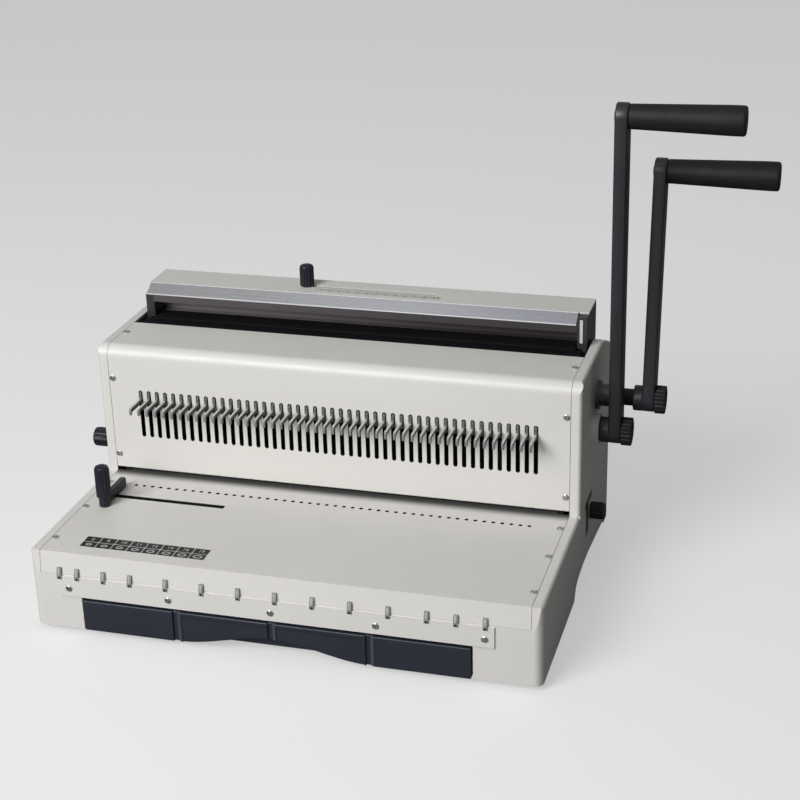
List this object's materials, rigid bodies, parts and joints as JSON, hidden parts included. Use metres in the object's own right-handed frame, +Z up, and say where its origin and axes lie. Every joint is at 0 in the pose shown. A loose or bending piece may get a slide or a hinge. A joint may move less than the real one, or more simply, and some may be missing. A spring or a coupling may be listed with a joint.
{
  "type": "wire binding machine",
  "caption": "Desktop wire binding machine with a slotted tower over a paper deck, a lever punch, a lever wire closer on top and a chip drawer.",
  "frame": {"origin": "middle of the part's bounding box on the desk plane, under the feet", "axes": "+X to the right as the user faces it, where the levers are; +Y from the user towards the rear; +Z up"},
  "size_m": [0.6534, 0.3352, 0.4601],
  "materials": {
    "cream_paint": "satin",
    "rubber": "matte",
    "bare_steel": "brushed",
    "bushing_brass": "satin",
    "polished_steel": "polished",
    "grey_plastic": "matte",
    "dark_metal": "satin",
    "black_label": "matte",
    "slate_plastic": "matte",
    "charcoal_plastic": "matte"
  },
  "bodies": {
    "frame": {"base_pan": "cream_paint", "rubber_feet": "rubber", "front_panel": "cream_paint", "deck_panel": "cream_paint", "left_side_panel": "cream_paint", "right_side_panel": "cream_paint", "rear_panel": "cream_paint", "tower_panel": "cream_paint", "hook_plate": "bare_steel", "front_strip": "cream_paint", "strip_clips": "grey_plastic", "strip_screws": "bare_steel", "deck_screws": "bare_steel", "tower_screws": "bare_steel", "settings_label": "black_label", "closer_cover": "cream_paint", "polished_strip": "polished_steel", "fixed_jaw": "dark_metal", "left_end_plate": "dark_metal", "right_end_plate": "dark_metal", "mouth_liner": "dark_metal", "scale_plate": "grey_plastic", "left_frame": "bare_steel", "right_frame": "bare_steel", "shaft_bushes": "bushing_brass", "tie_rods": "bare_steel", "guide_plate": "bare_steel", "die_plate": "bare_steel", "die_carrier": "dark_metal", "punch_bearing": "cream_paint", "closing_bearing": "bare_steel", "drawer_runners": "bare_steel"},
    "drawer": {"chip_tray": "slate_plastic", "drawer_front": "slate_plastic"},
    "punch_lever": {"punch_shaft": "bare_steel", "punch_arm": "dark_metal", "punch_end_knob": "charcoal_plastic", "punch_grip": "charcoal_plastic"},
    "ram": {"punch_ram": "bare_steel", "punch_pins": "bare_steel"},
    "closing_lever": {"closing_shaft": "bare_steel", "closing_arm": "dark_metal", "closing_end_knob": "charcoal_plastic", "closing_grip": "charcoal_plastic"},
    "press": {"press_bar": "bare_steel"},
    "size_adjuster": {"size_slider": "bare_steel", "size_knob": "slate_plastic"},
    "depth_control": {"depth_shaft": "bare_steel", "depth_knob": "slate_plastic"},
    "stop": {"back_stop": "bare_steel"},
    "guide": {"edge_guide": "charcoal_plastic"},
    "guide_knob": {"guide_clamp_knob": "charcoal_plastic"},
    "side_knob": {"side_clamp_knob": "charcoal_plastic"}
  },
  "joints": [
    {"name": "punch_lever_swing", "type": "hinge", "parent": "frame", "child": "punch_lever", "pos_m": [-0.065, 0.0696, 0.146], "axis": [1, 0, 0], "range_deg": [0, 85]},
    {"name": "ram_travel", "type": "slide", "parent": "frame", "child": "ram", "axis": [0, 0, 1], "range_m": [-0.0092, 0.0001]},
    {"name": "closing_lever_swing", "type": "hinge", "parent": "frame", "child": "closing_lever", "pos_m": [-0.065, 0.0929, 0.171], "axis": [1, 0, 0], "range_deg": [0, 80]},
    {"name": "press_travel", "type": "slide", "parent": "frame", "child": "press", "axis": [0, 0, 1], "range_m": [-0.0001, 0.0102]},
    {"name": "drawer_pull", "type": "slide", "parent": "frame", "child": "drawer", "axis": [0, -1, 0], "range_m": [0, 0.15]},
    {"name": "size_set", "type": "slide", "parent": "frame", "child": "size_adjuster", "axis": [1, 0, 0], "range_m": [0, 0.125]},
    {"name": "depth_turn", "type": "hinge", "parent": "frame", "child": "depth_control", "pos_m": [-0.315, 0.0386, 0.103], "axis": [-1, 0, 0], "range_deg": [-2, 92]},
    {"name": "stop_travel", "type": "slide", "parent": "frame", "child": "stop", "axis": [0, 1, 0], "range_m": [0, 0.00353]},
    {"name": "guide_slide", "type": "slide", "parent": "frame", "child": "guide", "axis": [1, 0, 0], "range_m": [0, 0.108]},
    {"name": "guide_knob_turn", "type": "hinge", "parent": "guide", "child": "guide_knob", "pos_m": [-0.2708, -0.0664, 0.095], "axis": [0, 0, 1], "continuous": true},
    {"name": "side_knob_turn", "type": "hinge", "parent": "frame", "child": "side_knob", "pos_m": [0.18, 0.0666, 0.062], "axis": [1, 0, 0], "continuous": true}
  ],
  "couplings": [
    {"joint": "ram_travel", "follows": "punch_lever_swing", "m_per_rad": -0.0060666},
    {"joint": "press_travel", "follows": "closing_lever_swing", "m_per_rad": 0.007162},
    {"joint": "depth_turn", "follows": "stop_travel", "rad_per_m": 444.29}
  ]
}
